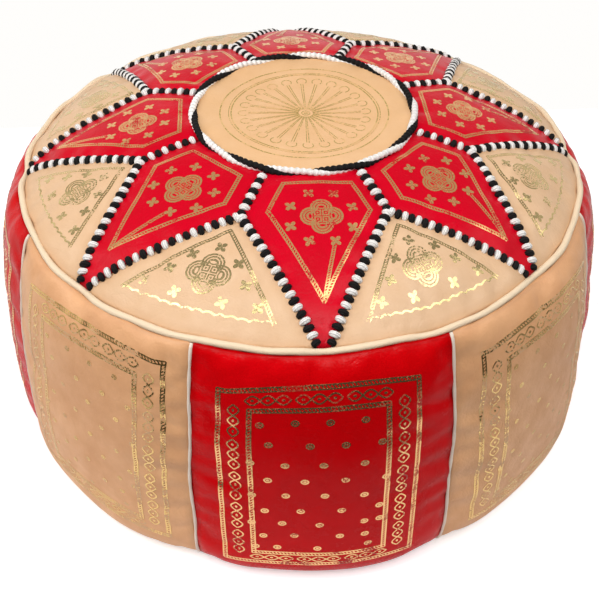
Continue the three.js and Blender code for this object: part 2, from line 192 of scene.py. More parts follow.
def plan(radius, angle):
    """The point at an angle turned from the front towards the left."""
    return Vector((-radius * math.sin(angle), -radius * math.cos(angle), 0))


def angle_of(spot):
    return math.atan2(-spot.x, -spot.y)


def rim_wander(angle):
    """How far the sewn rim strays (outwards, upwards) from a true circle."""
    nearest = round(angle / SECTOR)
    aside = angle - nearest * SECTOR - TIP_SWINGS[nearest % POINTS]
    dip = TIP_DIPS[nearest % POINTS] * math.exp(-((aside / 0.06) ** 2))
    rise = 0.0008 * math.sin(5 * angle + 1) + 0.0008 * math.sin(11 * angle + 2.4)
    rise += 0.0006 * math.sin(23 * angle)
    out = 0.0009 * math.sin(3 * angle + 0.5) + 0.0007 * math.sin(13 * angle + 1.3) - 0.8 * dip
    return out, rise - dip


def dome_height(radius):
    return RIM_HEIGHT + CROWN_RISE * (1 - min(radius / RIM_RADIUS, 1) ** CROWN_POWER)


def crown_height(radius):
    if radius >= MEDALLION_RADIUS:
        return dome_height(radius)
    return dome_height(MEDALLION_RADIUS) - MEDALLION_DISH * (1 - (radius / MEDALLION_RADIUS) ** 2)


def settle(x, y):
    """Where a plan point of the evenly cut top lies now that it is sewn and stuffed by hand."""
    radius = math.hypot(x, y)
    angle = math.atan2(-x, -y)
    nearest = math.floor(angle / SECTOR)
    between = angle / SECTOR - nearest
    between *= between * (3 - 2 * between)
    swing = TIP_SWINGS[nearest % POINTS] * (1 - between) + TIP_SWINGS[(nearest + 1) % POINTS] * between
    spot = plan(radius, angle + swing * min(radius / RIM_RADIUS, 1) ** 2)
    return spot + MIDDLE_SHIFT * max(1 - radius / RIM_RADIUS, 0)


def on_crown(x, y):
    """(the point on the top over a plan point, the way out from it)."""
    radius = math.hypot(x, y)
    step = 0.001
    slope = (crown_height(radius + step) - crown_height(radius - step)) / (2 * step) if radius > step else 0
    spot = settle(x, y)
    out, rise = rim_wander(angle_of(spot))
    share = max(0, 1 - (RIM_RADIUS - radius) / 0.035) ** 2
    spot *= 1 + out * share / max(radius, step)
    spot.z = crown_height(radius) + rise * share
    return spot, Vector((-slope * x / max(radius, step), -slope * y / max(radius, step), 1)).normalized()


def side_radius(height):
    if height >= SWELL_HEIGHT:
        u = (RIM_HEIGHT - height) / (RIM_HEIGHT - SWELL_HEIGHT)
        return RIM_RADIUS + SIDE_SWELL * (1 - (1 - u) ** SWELL_POWER) ** (1 / SWELL_POWER)
    v = (SWELL_HEIGHT - height) / SWELL_HEIGHT
    turned_under = RIM_RADIUS + SIDE_SWELL - FOOT_RADIUS
    return FOOT_RADIUS + turned_under * max(1 - v**FOOT_POWER, 0) ** (1 / FOOT_POWER)


def trace_side(steps=400):
    """[(length down from the rim, radius, height)] down to the base seam."""
    turn = [math.sin(math.pi / 2 * i / steps) for i in range(steps + 1)]
    heights = [SWELL_HEIGHT + (RIM_HEIGHT - SWELL_HEIGHT) * (1 - i / steps) for i in range(steps)]
    heights += [SWELL_HEIGHT * (1 - t ** (2 / FOOT_POWER)) for t in turn]
    rows, length = [], 0.0
    for height in heights:
        radius = side_radius(height)
        if rows:
            length += math.hypot(radius - rows[-1][1], height - rows[-1][2])
        rows.append((length, radius, height))
    return rows


SIDE_LINE = trace_side()
SIDE_LENGTH = SIDE_LINE[-1][0]


def down_side(length):
    """(radius, height) at a length down from the rim."""
    length = min(max(length, 0), SIDE_LENGTH)
    low, high = 0, len(SIDE_LINE) - 1
    while high - low > 1:
        middle = (low + high) // 2
        low, high = (middle, high) if SIDE_LINE[middle][0] <= length else (low, middle)
    (a, r0, z0), (b, r1, z1) = SIDE_LINE[low], SIDE_LINE[high]
    t = (length - a) / (b - a)
    return r0 + (r1 - r0) * t, z0 + (z1 - z0) * t


def on_side(angle, length):
    """(the point on the side, the way out from it)."""
    radius, height = down_side(length)
    r0, z0 = down_side(length - 0.002)
    r1, z1 = down_side(length + 0.002)
    out, rise = rim_wander(angle)
    share = max(0, 1 - length / 0.04) ** 2
    spot = plan(radius + out * share, angle)
    spot.z = height + rise * share
    slant = Vector((z0 - z1, r1 - r0)).normalized()
    away = plan(slant.x, angle)
    away.z = slant.y
    return spot, away


# ---- Leather ----
# Vegetable-tanned goat leather with a fine grain. The red is dyed and polished, and the natural leather is
# left bare, so it is mottled. Every hide is painted darker along its seams, as painted shade.


def hide_group():
    """The grain, the finest creases and the mottling of a hide."""
    group = bpy.data.node_groups.new("hide", "ShaderNodeTree")
    for name in ("Height", "Mottle", "Cloud"):
        group.interface.new_socket(name=name, in_out="OUTPUT", socket_type="NodeSocketFloat")
    out = add_node(group, "NodeGroupOutput")
    place = add_node(group, "ShaderNodeTexCoord").outputs["Object"]

    pores = add_node(group, "ShaderNodeTexVoronoi", feature="SMOOTH_F1")
    pores.inputs["Scale"].default_value = 620
    pores.inputs["Smoothness"].default_value = 0.4
    wire(group, place, pores.inputs["Vector"])
    bend = add_node(group, "ShaderNodeTexNoise")
    bend.inputs["Scale"].default_value = 30
    bend.inputs["Detail"].default_value = 3
    wire(group, place, bend.inputs["Vector"])
    strayed = add_node(group, "ShaderNodeVectorMath", operation="MULTIPLY_ADD")
    strayed.inputs[1].default_value = (0.02, 0.02, 0.02)
    wire(group, bend.outputs["Color"], strayed.inputs[0])
    wire(group, place, strayed.inputs[2])
    creases = add_node(group, "ShaderNodeTexVoronoi", feature="DISTANCE_TO_EDGE")
    creases.inputs["Scale"].default_value = 85
    wire(group, strayed.outputs[0], creases.inputs["Vector"])
    crease = map_range(group, creases.outputs["Distance"], 0.0, 0.09, 0.0, 1.0)
    fine = add_node(group, "ShaderNodeTexNoise")
    fine.inputs["Scale"].default_value = 240
    fine.inputs["Detail"].default_value = 4
    wire(group, place, fine.inputs["Vector"])
    grain = arithmetic(group, "MULTIPLY", pores.outputs["Distance"], 0.5)
    grain = arithmetic(group, "ADD", grain, arithmetic(group, "MULTIPLY", crease, 0.28))
    grain = arithmetic(group, "ADD", grain, arithmetic(group, "MULTIPLY", fine.outputs["Fac"], 0.9))
    wire(group, grain, out.inputs["Height"])

    mottle = add_node(group, "ShaderNodeTexNoise")
    mottle.inputs["Scale"].default_value = 42
    mottle.inputs["Detail"].default_value = 7
    mottle.inputs["Roughness"].default_value = 0.62
    wire(group, place, mottle.inputs["Vector"])
    wire(group, map_range(group, mottle.outputs["Fac"], 0.3, 0.7), out.inputs["Mottle"])
    cloud = add_node(group, "ShaderNodeTexNoise")
    cloud.inputs["Scale"].default_value = 9
    cloud.inputs["Detail"].default_value = 2
    wire(group, place, cloud.inputs["Vector"])
    wire(group, map_range(group, cloud.outputs["Fac"], 0.32, 0.68), out.inputs["Cloud"])
    return group


HIDE = hide_group()


def mix_colours(tree, share, first, second):
    node = add_node(tree, "ShaderNodeMix", data_type="RGBA")
    for socket, value in ((node.inputs[0], share), (node.inputs[6], first), (node.inputs[7], second)):
        if isinstance(value, (int, float)):
            socket.default_value = value
        elif isinstance(value, tuple):
            socket.default_value = (*value, 1)
        else:
            wire(tree, value, socket)
    return node.outputs[2]


def add_bump(tree, shader, height, strength, distance):
    bump = add_node(tree, "ShaderNodeBump")
    bump.inputs["Strength"].default_value = strength
    bump.inputs["Distance"].default_value = distance
    wire(tree, height, bump.inputs["Height"])
    wire(tree, bump.outputs["Normal"], shader.inputs["Normal"])


def leather(name, light, deep, seam_shade, polish, grain, gloss=0.35):
    """light and deep are the hide's paler and darker patches, and the seam colour is painted shade along its
    seams, fading out over the 7 mm nearest them. polish is its lowest and highest roughness."""
    material = bpy.data.materials.new(name)
    material.use_nodes = True
    tree = material.node_tree
    shader = tree.nodes["Principled BSDF"]
    hide = add_node(tree, "ShaderNodeGroup", node_tree=HIDE)
    colour = mix_colours(tree, hide.outputs["Mottle"], deep, light)
    clouded = mix_colours(tree, arithmetic(tree, "MULTIPLY", hide.outputs["Cloud"], 0.45), colour, deep)
    # Painted shade: the colour darkens to the seam colour over the 7 mm nearest a seam.
    sewn = add_node(tree, "ShaderNodeAttribute", attribute_name="from_seam")
    inward = map_range(tree, sewn.outputs["Fac"], 0.0, 0.007)
    wire(tree, mix_colours(tree, inward, seam_shade, clouded), shader.inputs["Base Color"])
    low, high = polish
    wire(tree, map_range(tree, hide.outputs["Mottle"], 0, 1, high, low), shader.inputs["Roughness"])
    shader.inputs["Specular IOR Level"].default_value = gloss
    add_bump(tree, shader, hide.outputs["Height"], grain, 0.0006)
    return material


# The seam colour of each hide below is painted shade along its seams.
RED_LEATHER = leather(
    "red_leather",
    light=(0.68, 0.0008, 0.004),
    deep=(0.58, 0.0005, 0.002),
    seam_shade=(0.42, 0.0005, 0.0015),
    polish=(0.20, 0.32),
    grain=0.3,
    gloss=0.075,
)
KITE_LEATHER = leather(
    "kite_leather",
    light=(0.66, 0.001, 0.017),
    deep=(0.55, 0.0008, 0.011),
    seam_shade=(0.40, 0.0008, 0.007),
    polish=(0.26, 0.38),
    grain=0.3,
    gloss=0.12,
)
GUSSET_LEATHER = leather(
    "gusset_leather",
    light=(0.77, 0.515, 0.32),
    deep=(0.70, 0.44, 0.25),
    seam_shade=(0.64, 0.385, 0.21),
    polish=(0.46, 0.6),
    grain=0.4,
)
SIDE_LEATHER = leather(
    "side_leather",
    light=(0.87, 0.48, 0.24),
    deep=(0.70, 0.345, 0.16),
    seam_shade=(0.66, 0.34, 0.165),
    polish=(0.40, 0.55),
    grain=0.4,
)
MEDALLION_LEATHER = leather(
    "medallion_leather",
    light=(0.81, 0.50, 0.265),
    deep=(0.75, 0.44, 0.215),
    seam_shade=(0.70, 0.41, 0.20),
    polish=(0.46, 0.6),
    grain=0.3,
)

# ---- The cover's pieces ----
# Each is one cut of leather, sewn along its edges and pushed out by the filling between them. The seams hold
# its edges down, and the leather puckers a little beside them.

LEATHER_THICKNESS = 0.0015
SEAM_GAP = 0.0004
MEDALLION_LAP = 0.0022  # it lies over the kites' inner ends
PUCKER = 0.0016  # the height of the puckers beside a seam
LUMP = 0.0024  # the height of the lumps in the filling
LUMP_START = Vector((3, 1, 7))


def cut_leather(name, columns, rows, lie, puff, reach, sink, material, node):
    """lie(u, v), for u and v from -1 to 1, gives a point of the cut, the way out there, and how far from the
    seam it is."""
    bm = bmesh.new()
    bmesh.ops.create_grid(bm, x_segments=columns, y_segments=rows, size=1)
    from_seam = bm.verts.layers.float.new("from_seam")
    outward = Vector()
    for vert in bm.verts:
        spot, out, distance = lie(vert.co.x, vert.co.y)
        lift = puff * (1 - (1 - min(distance / reach, 1)) ** 2) - sink * math.exp(-distance / 0.005)
        lift += PUCKER * math.exp(-distance / 0.016) * noise.noise(spot * 62)
        lift += LUMP * noise.noise(spot * 15 + LUMP_START) * min(distance / 0.03, 1)
        vert.co = spot + out * lift
        vert.co.z = max(vert.co.z, 0)
        vert[from_seam] = distance
        outward += out
    bm.normal_update()
    if sum((face.normal for face in bm.faces), Vector()).dot(outward) < 0:
        bmesh.ops.reverse_faces(bm, faces=bm.faces)
    mesh = bpy.data.meshes.new(name)
    bm.to_mesh(mesh)
    bm.free()
    mesh.materials.append(material)
    mesh.shade_smooth()
    piece = bpy.data.objects.new(name, mesh)
    scene.collection.objects.link(piece)
    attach(piece, "pouf")
    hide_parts(node)
    return piece


def to_edges(point, outline):
    """The distance from a plan point to the nearest stretch of a line of seams."""
    best = 1.0
    for a, b in zip(outline, outline[1:]):
        along = b - a
        t = min(max((point - a).dot(along) / along.length_squared, 0), 1)
        best = min(best, (point - a - along * t).length)
    return best


def turn_to(angle, along, across):
    """The plan point this far along and across an axis at an angle from the front."""
    return plan(along, angle) + Vector((math.cos(angle), -math.sin(angle), 0)) * across


HALF = SECTOR / 2
TIP_HALF = math.asin(TIP_WIDTH / 2 / RIM_RADIUS)
TOP_EDGE = RIM_RADIUS - PIPING_RADIUS * 0.6
KITE_ROOT = Vector((MEDALLION_RADIUS * math.cos(HALF), MEDALLION_RADIUS * math.sin(HALF)))
KITE_SHOULDER = Vector((SHOULDER_RADIUS * math.cos(HALF), SHOULDER_RADIUS * math.sin(HALF)))
KITE_TIP = Vector((TOP_EDGE * math.cos(TIP_HALF), TOP_EDGE * math.sin(TIP_HALF)))


def kite_half(share):
    """(along, half width) of a kite's edge at a share of the way from its root to its tip."""
    to_shoulder = 0.34  # the share of the way at which the kite is widest
    if share < to_shoulder:
        return KITE_ROOT.lerp(KITE_SHOULDER, share / to_shoulder)
    return KITE_SHOULDER.lerp(KITE_TIP, (share - to_shoulder) / (1 - to_shoulder))


KITE_SEAM = [KITE_ROOT, KITE_SHOULDER, KITE_TIP]


def lie_kite(k):
    """A kite: u runs across it, and v from the medallion out to its tip."""

    def lie(u, v):
        edge = kite_half((v + 1) / 2)
        across = u * (edge.y - SEAM_GAP)
        arc = math.sqrt(MEDALLION_RADIUS**2 - KITE_ROOT.y**2 * u * u) - KITE_ROOT.x
        along = edge.x + arc * max(0, 1 - (v + 1) / 0.68) ** 2
        distance = to_edges(Vector((along, abs(across))), KITE_SEAM)
        distance = min(distance, edge.y - abs(across), (v + 1) * 0.075, (1 - v) * 0.075)
        spot = turn_to(k * SECTOR, along, across)
        return *on_crown(spot.x, spot.y), max(distance, 0)

    return lie


CREASE = 0.0016


def crease(along_seam, from_seam, number, distance):
    """The height of the short creases that run away from a seam and fade out."""
    wave = noise.noise(Vector((along_seam, from_seam, number * 5.3)))
    return CREASE * wave * math.exp(-distance / 0.028)


def lie_gusset(k):
    """A gusset: u runs across it, and v from between two kites out to the rim."""
    shoulder = Vector((SHOULDER_RADIUS + 0.001, 0.0004))
    tip = Vector((TOP_EDGE * math.cos(HALF - TIP_HALF), TOP_EDGE * math.sin(HALF - TIP_HALF)))
    long_side = (tip - shoulder).normalized()

    def lie(u, v):
        share = (v + 1) / 2
        edge = shoulder.lerp(tip, share)
        across = u * (edge.y - SEAM_GAP * share)
        arc = math.sqrt(TOP_EDGE**2 - (tip.y * u) ** 2) - tip.x
        along = edge.x + arc * share**2
        from_rim = TOP_EDGE - math.hypot(along, across)
        distance = min((edge.y - abs(across)) * long_side.x, from_rim, share * 0.09)
        plan_spot = turn_to((k + 0.5) * SECTOR, along, across)
        spot, out = on_crown(plan_spot.x, plan_spot.y)
        spot += out * crease(math.atan2(across, along) * 24, along * 12, k, from_rim)
        return spot, out, max(distance, 0)

    return lie


def lie_medallion(u, v):
    """The medallion: its square of u and v is rounded out to a disc."""
    radius = MEDALLION_RADIUS + MEDALLION_LAP
    x, y = u * math.sqrt(1 - v * v / 2) * radius, v * math.sqrt(1 - u * u / 2) * radius
    return *on_crown(x, y), max(radius - math.hypot(x, y), 0)


SIDE_TOP = PIPING_RADIUS * 0.8


def drawn_in(length):
    """How far the side seams are pulled into the filling."""
    return 0.0036 * min(length / 0.03, 1) * min((SIDE_LENGTH - length) / 0.03, 1)


def lie_side(k):
    """A side panel: u runs round the pouf, and v from the rim down to the base."""

    def lie(u, v):
        length = SIDE_TOP + (SIDE_LENGTH - SIDE_TOP) * (v + 1) / 2
        angle = k * SECTOR + u * (HALF - 0.0003 / RIM_RADIUS)
        spot, out = on_side(angle, length)
        radius = math.hypot(spot.x, spot.y)
        spot -= out * drawn_in(length)
        spot += out * crease(angle * 24, length * 12, 0.7, length)
        spot += out * crease(length * 80, angle * 3, k, (1 - abs(u)) * HALF * radius + 0.006)
        distance = min((1 - abs(u)) * HALF * radius, (length - SIDE_TOP) * 1.5, (SIDE_LENGTH - length) * 0.8)
        return spot, out, max(distance, 0)

    return lie


cover = {}
for k in range(POINTS):
    number = k + 1
    cover[f"kite_{number}"] = cut_leather(
        f"kite_{number}",
        columns=26,
        rows=34,
        lie=lie_kite(k),
        puff=0.0010,
        reach=0.03,
        sink=0.0005,
        material=KITE_LEATHER,
        node=f"star_point_{number}",
    )
    cover[f"gusset_{number}"] = cut_leather(
        f"gusset_{number}",
        columns=28,
        rows=28,
        lie=lie_gusset(k),
        puff=0.0016,
        reach=0.035,
        sink=0.0005,
        material=GUSSET_LEATHER,
        node=f"star_gusset_{number}",
    )
    is_red = k % 2 == 0
    cover[f"side_{number}"] = cut_leather(
        f"side_{number}",
        columns=44,
        rows=58,
        lie=lie_side(k),
        puff=0.0036,
        reach=0.05,
        sink=0.0003,
        material=RED_LEATHER if is_red else SIDE_LEATHER,
        node=f"side_panel_{number}",
    )
cover["medallion"] = cut_leather(
    "medallion",
    columns=40,
    rows=40,
    lie=lie_medallion,
    puff=0.0012,
    reach=0.03,
    sink=-0.0009,  # its edge lies on the kites
    material=MEDALLION_LEATHER,
    node="top_medallion",
)

# ---- The filling's push ----
# The filling pushes each cut out against its own seams until it is taut, as air would.

PUSH_FRAMES = 14
PUSH_CAP = {"kite": 0.0010, "gusset": 0.0016, "side": 0.0018, "medallion": 0.0010}  # the furthest it may go


def push_out(pieces):
    """Lets the pressure work on every cut at once, and keeps what each point has moved, up to the cap."""
    for piece in pieces.values():
        distances = piece.data.attributes["from_seam"].data
        sewn = piece.vertex_groups.new(name="sewn")
        sewn.add([i for i, d in enumerate(distances) if d.value < 0.0006], 1, "REPLACE")
        cloth = piece.modifiers.new("cloth", "CLOTH")
        cloth.point_cache.frame_end = PUSH_FRAMES
        cloth.collision_settings.use_collision = False
        settings = cloth.settings
        settings.quality = 4
        settings.mass = 0.2
        settings.tension_stiffness = settings.compression_stiffness = 20
        settings.shear_stiffness = 10
        settings.bending_stiffness = 2
        settings.use_pressure = True
        settings.uniform_pressure_force = 4
        settings.shrink_min = -0.012
        settings.vertex_group_mass = "sewn"
        settings.effector_weights.gravity = 0
    for number in range(1, PUSH_FRAMES + 1):
        scene.frame_set(number)
    graph = bpy.context.evaluated_depsgraph_get()
    for name, piece in pieces.items():
        cap = PUSH_CAP[name.split("_")[0]]
        pushed = [vert.co.copy() for vert in piece.evaluated_get(graph).data.vertices]
        for vert, after in zip(piece.data.vertices, pushed):
            moved = after - vert.co
            if moved.length > 1e-9:
                vert.co += moved * (cap * math.tanh(moved.length / cap) / moved.length)
                vert.co.z = max(vert.co.z, 0)
        piece.modifiers.remove(piece.modifiers["cloth"])
        piece.vertex_groups.clear()
    scene.frame_set(1)


push_out(cover)
for piece in cover.values():
    subdivision = piece.modifiers.new("smooth", "SUBSURF")
    subdivision.levels = subdivision.render_levels = 1
    wall = piece.modifiers.new("thickness", "SOLIDIFY")
    wall.thickness = LEATHER_THICKNESS
    wall.offset = -1

# ---- Piping and welts ----
# Strips of pale leather folded round a cord and caught in the seams: a thick one round the rim, and a thin
# one down each side seam.

WELT_RADIUS = 0.0013
# Their seam colour is painted shade too, here no darker than the hide's middle tone.
CREAM_LEATHER = leather(
    "cream_leather",
    light=(0.86, 0.69, 0.50),
    deep=(0.80, 0.61, 0.41),
    seam_shade=(0.83, 0.65, 0.45),
    polish=(0.42, 0.55),
    grain=0.35,
)
WHITE_LEATHER = leather(
    "white_leather",
    light=(0.86, 0.76, 0.66),
    deep=(0.78, 0.66, 0.55),
    seam_shade=(0.82, 0.70, 0.59),
    polish=(0.42, 0.55),
    grain=0.35,
)


def make_piece(name, bm, materials, replaced=()):
    """A finished piece from a bmesh, riding on the pouf."""
    mesh = bpy.data.meshes.new(name)
    bm.to_mesh(mesh)
    bm.free()
    for material in materials:
        mesh.materials.append(material)
    mesh.shade_smooth()
    piece = bpy.data.objects.new(name, mesh)
    scene.collection.objects.link(piece)
    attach(piece, "pouf")
    if replaced:
        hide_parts(*replaced)
    return piece


def spin_ring(radius, height, thickness, sides, steps):
    """A ring of round section about the pouf's axis."""
    bm = bmesh.new()
    place = Matrix.Translation((0, -radius, height)) @ Matrix.Rotation(math.pi / 2, 4, "Y")
    bmesh.ops.create_circle(bm, cap_ends=False, segments=sides, radius=thickness, matrix=place)
    section = bm.verts[:] + bm.edges[:]
    bmesh.ops.spin(bm, geom=section, axis=(0, 0, 1), angle=2 * math.pi, steps=steps, use_merge=True)
    bmesh.ops.recalc_face_normals(bm, faces=bm.faces)
    return bm


bm = spin_ring(RIM_RADIUS, RIM_HEIGHT, PIPING_RADIUS, 12, 288)
for vert in bm.verts:
    angle = angle_of(vert.co)
    out, rise = rim_wander(angle)
    middle = plan(RIM_RADIUS, angle) + Vector((0, 0, RIM_HEIGHT))
    plump = 0.88 + 0.12 * noise.noise(middle * 45) + 0.08 * noise.noise(middle * 160)
    stray = noise.noise_vector(middle * 38) * 0.0011
    vert.co = middle + (vert.co - middle) * plump + plan(out, angle) + Vector((0, 0, rise)) + stray
make_piece("rim_piping_cover", bm, [CREAM_LEATHER], ["rim_piping"])


def draw_tube(points, radius_at):
    """A round tube along a line of points, closed at both ends."""
    data = bpy.data.curves.new("line", "CURVE")
    data.dimensions = "3D"
    data.bevel_depth = 1
    data.bevel_resolution = 3
    data.use_fill_caps = True
    line = data.splines.new("POLY")
    line.points.add(len(points) - 1)
    for number, (point, spot) in enumerate(zip(line.points, points)):
        point.co = (*spot, 1)
        point.radius = radius_at(number)
    drawn = bpy.data.objects.new("line", data)
    scene.collection.objects.link(drawn)
    mesh = bpy.data.meshes.new_from_object(drawn.evaluated_get(bpy.context.evaluated_depsgraph_get()))
    bm = bmesh.new()
    bm.from_mesh(mesh)
    bmesh.ops.remove_doubles(bm, verts=bm.verts, dist=1e-6)
    bpy.data.objects.remove(drawn)
    bpy.data.curves.remove(data)
    bpy.data.meshes.remove(mesh)
    return bm


for k in range(POINTS):
    points = []
    for i in range(81):
        length = PIPING_RADIUS + (SIDE_LENGTH - PIPING_RADIUS) * i / 80
        sway = 0.0009 * math.sin(i * 0.21 + k * 1.7) * math.sin(math.pi * i / 80)
        spot, out = on_side((k + 0.5) * SECTOR + sway / RIM_RADIUS, length)
        spot -= out * (drawn_in(length) + 0.0002)
        spot.z = max(spot.z, WELT_RADIUS)
        points.append(spot)
    bm = draw_tube(points, lambda i, k=k: WELT_RADIUS * (1 + 0.12 * math.sin(i * 0.9 + k)))
    make_piece(f"side_welt_cover_{k + 1}", bm, [WHITE_LEATHER], [f"side_welt_{k + 1}"])

# ---- The whipped seams ----
# Thick cotton yarn, black and white in turn, whipped over the star's seams in fat stitches that sit side by
# side across the seam.

STITCH_LENGTH = 0.0044  # half its length across the seam
STITCH_WIDTH = 0.00262
STITCH_HEIGHT = 0.0028
STEM_STITCHES = 8  # between two points of the star
ARM_STITCHES = 22  # from there out to a point's tip


def yarn(name, colour, deep, strands):
    """Soft spun yarn. The strands lie along the piece's own strand attribute. Its colour darkens towards deep
    in the grooves between the strands, as painted shade, and varies at random with the fuzz.
    """
    material = bpy.data.materials.new(name)
    material.use_nodes = True
    tree = material.node_tree
    shader = tree.nodes["Principled BSDF"]
    lie = add_node(tree, "ShaderNodeAttribute", attribute_name="strand")
    ridge = arithmetic(tree, "SINE", arithmetic(tree, "MULTIPLY", lie.outputs["Fac"], strands))
    fuzz = add_node(tree, "ShaderNodeTexNoise")
    fuzz.inputs["Scale"].default_value = 900
    fuzz.inputs["Detail"].default_value = 3
    wire(tree, add_node(tree, "ShaderNodeTexCoord").outputs["Object"], fuzz.inputs["Vector"])
    rough = arithmetic(tree, "ADD", ridge, arithmetic(tree, "MULTIPLY", fuzz.outputs["Fac"], 1.6))
    # Painted shade: the yarn is darker in the grooves between its strands, and varies at random with the
    # fuzz.
    lit_ridges = map_range(tree, rough, -0.6, 1.4)
    wire(tree, mix_colours(tree, lit_ridges, deep, colour), shader.inputs["Base Color"])
    shader.inputs["Roughness"].default_value = 0.85
    shader.inputs["Specular IOR Level"].default_value = 0.2
    add_bump(tree, shader, rough, 0.7, 0.0003)
    return material


WHITE_YARN = yarn("white_yarn", (0.92, 0.89, 0.86), (0.66, 0.62, 0.58), 9.0)
BLACK_YARN = yarn("black_yarn", (0.012, 0.010, 0.010), (0.003, 0.003, 0.003), 9.0)
shake = random.Random(7)


def whip_stitch(bm, spot, out, along, colour, size=1.0):
    """One stitch over the seam: a fat rounded loop whose ends are drawn down to the leather."""
    strand = bm.verts.layers.float["strand"]
    made = bmesh.ops.create_uvsphere(
        bm, u_segments=8, v_segments=6, radius=1, matrix=Matrix.Rotation(math.pi / 2, 4, "Y")
    )["verts"]
    across = out.cross(along).normalized()
    lean = shake.uniform(-0.12, 0.12)
    along, across = (
        (along * math.cos(lean) + across * math.sin(lean)).normalized(),
        (across * math.cos(lean) - along * math.sin(lean)).normalized(),
    )
    plump = size * shake.uniform(0.93, 1.07)
    for vert in made:
        x, y, z = vert.co
        square = (1 - x * x) ** -0.14 if abs(x) < 0.99 else 1
        vert[strand] = y
        vert.co = (
            spot
            + across * x * STITCH_LENGTH * plump
            + along * y * STITCH_WIDTH * square
            + out * (z * STITCH_HEIGHT * plump * square - 0.0016 * x * x)
        )
    for face in {face for vert in made for face in vert.link_faces}:
        face.material_index = colour


def whip_along(bm, start, end, count, first):
    """A row of stitches over the top from one plan point to another, in turn white and black."""
    for i in range(count):
        flat = start.lerp(end, (i + 0.5) / count)
        spot, out = on_crown(flat.x, flat.y)
        along = (end - start).normalized()
        along = (along - out * along.dot(out)).normalized()
        last = 0.86 if i == count - 1 else 1.0
        whip_stitch(bm, spot + out * 0.0014, out, along, (i + first) % 2, last)


RING_RADIUS = MEDALLION_RADIUS + 0.0028
for k in range(POINTS):
    bm = bmesh.new()
    bm.verts.layers.float.new("strand")
    seam_angle = (k + 0.5) * SECTOR
    shoulder = plan(SHOULDER_RADIUS, seam_angle)
    whip_along(bm, plan(RING_RADIUS + 0.0050, seam_angle), shoulder, STEM_STITCHES, 0)
    for side, point in ((-1, k), (1, k + 1)):
        tip = turn_to(point * SECTOR, KITE_TIP.x - 0.001, side * (KITE_TIP.y - 0.0008))
        whip_along(bm, shoulder, tip, ARM_STITCHES, 0)
    bmesh.ops.recalc_face_normals(bm, faces=bm.faces)
    make_piece(f"whipped_seam_{k + 1}", bm, [WHITE_YARN, BLACK_YARN], [f"star_cord_{k + 1}"])

# ---- The medallion's cord ----
# Two cords, one black and one white, each whipped round a core, twisted together once for each star point
# and sewn down over the medallion's edge.

PLY_RADIUS = 0.0027
PLY_OFFSET = 0.0012
RIB_COUNT = 124
for name, material, ahead in (("black", BLACK_YARN, 0.35), ("white", WHITE_YARN, 0.35 + math.pi)):
    bm = spin_ring(RING_RADIUS, 0, PLY_RADIUS, 10, RIB_COUNT * 8)
    strand = bm.verts.layers.float.new("strand")
    for vert in bm.verts:
        angle = angle_of(vert.co)
        middle = plan(RING_RADIUS, angle)
        seat, out = on_crown(middle.x, middle.y)
        twist = POINTS * (angle - HALF) + ahead
        twist += 0.3 * math.sin(2 * twist)  # each cord stays over or under for longer than beside
        rib = abs(math.sin(RIB_COUNT * angle / 2))
        away = plan(math.cos(twist) * PLY_OFFSET, angle) + Vector((0, 0, math.sin(twist) * PLY_OFFSET))
        knots = 0.72 + 0.34 * rib + 0.06 * noise.noise(vert.co * 300)
        vert.co = seat + out * 0.0021 + (vert.co - middle) * knots + away
        vert[strand] = RIB_COUNT * angle / 9.0
    make_piece(f"medallion_cord_{name}", bm, [material], ["medallion_cord"])

# ---- Foil stamping ----
# Gold foil pressed into the leather with hot brass tools: framed borders of linked ovals, rows of dots,
# small flowers and four-lobed rosettes. It is thin, crinkled, and rubbed away in places.


def foil_group():
    """How well the foil has held, from about 0.6 to 1.4, and the crinkles in it."""
    group = bpy.data.node_groups.new("rubbed_foil", "ShaderNodeTree")
    for name in ("Held", "Crinkle"):
        group.interface.new_socket(name=name, in_out="OUTPUT", socket_type="NodeSocketFloat")
    out = add_node(group, "NodeGroupOutput")
    place = add_node(group, "ShaderNodeTexCoord").outputs["Object"]
    patches = add_node(group, "ShaderNodeTexNoise")
    patches.inputs["Scale"].default_value = 55
    patches.inputs["Detail"].default_value = 3
    specks = add_node(group, "ShaderNodeTexNoise")
    specks.inputs["Scale"].default_value = 620
    specks.inputs["Detail"].default_value = 3
    crinkle = add_node(group, "ShaderNodeTexNoise")
    crinkle.inputs["Scale"].default_value = 420
    crinkle.inputs["Detail"].default_value = 2
    for texture in (patches, specks, crinkle):
        wire(group, place, texture.inputs["Vector"])
    wire(group, arithmetic(group, "ADD", patches.outputs["Fac"], specks.outputs["Fac"]), out.inputs["Held"])
    wire(group, crinkle.outputs["Fac"], out.inputs["Crinkle"])
    return group


FOIL = foil_group()


def foil_on(name, gold, under, wear, shine=0.97):
    """wear is how much of it has rubbed away, from about 0.75 for little to 1.05 for more than half."""
    material = bpy.data.materials.new(name)
    material.use_nodes = True
    tree = material.node_tree
    shader = tree.nodes["Principled BSDF"]
    foil = add_node(tree, "ShaderNodeGroup", node_tree=FOIL)
    held = map_range(tree, foil.outputs["Held"], wear, wear + 0.12)
    wire(tree, mix_colours(tree, held, under, gold), shader.inputs["Base Color"])
    wire(tree, arithmetic(tree, "MULTIPLY", held, shine), shader.inputs["Metallic"])
    wire(tree, map_range(tree, held, 0, 1, 0.5, 0.24), shader.inputs["Roughness"])
    add_bump(tree, shader, foil.outputs["Crinkle"], 0.4, 0.0003)
    return material


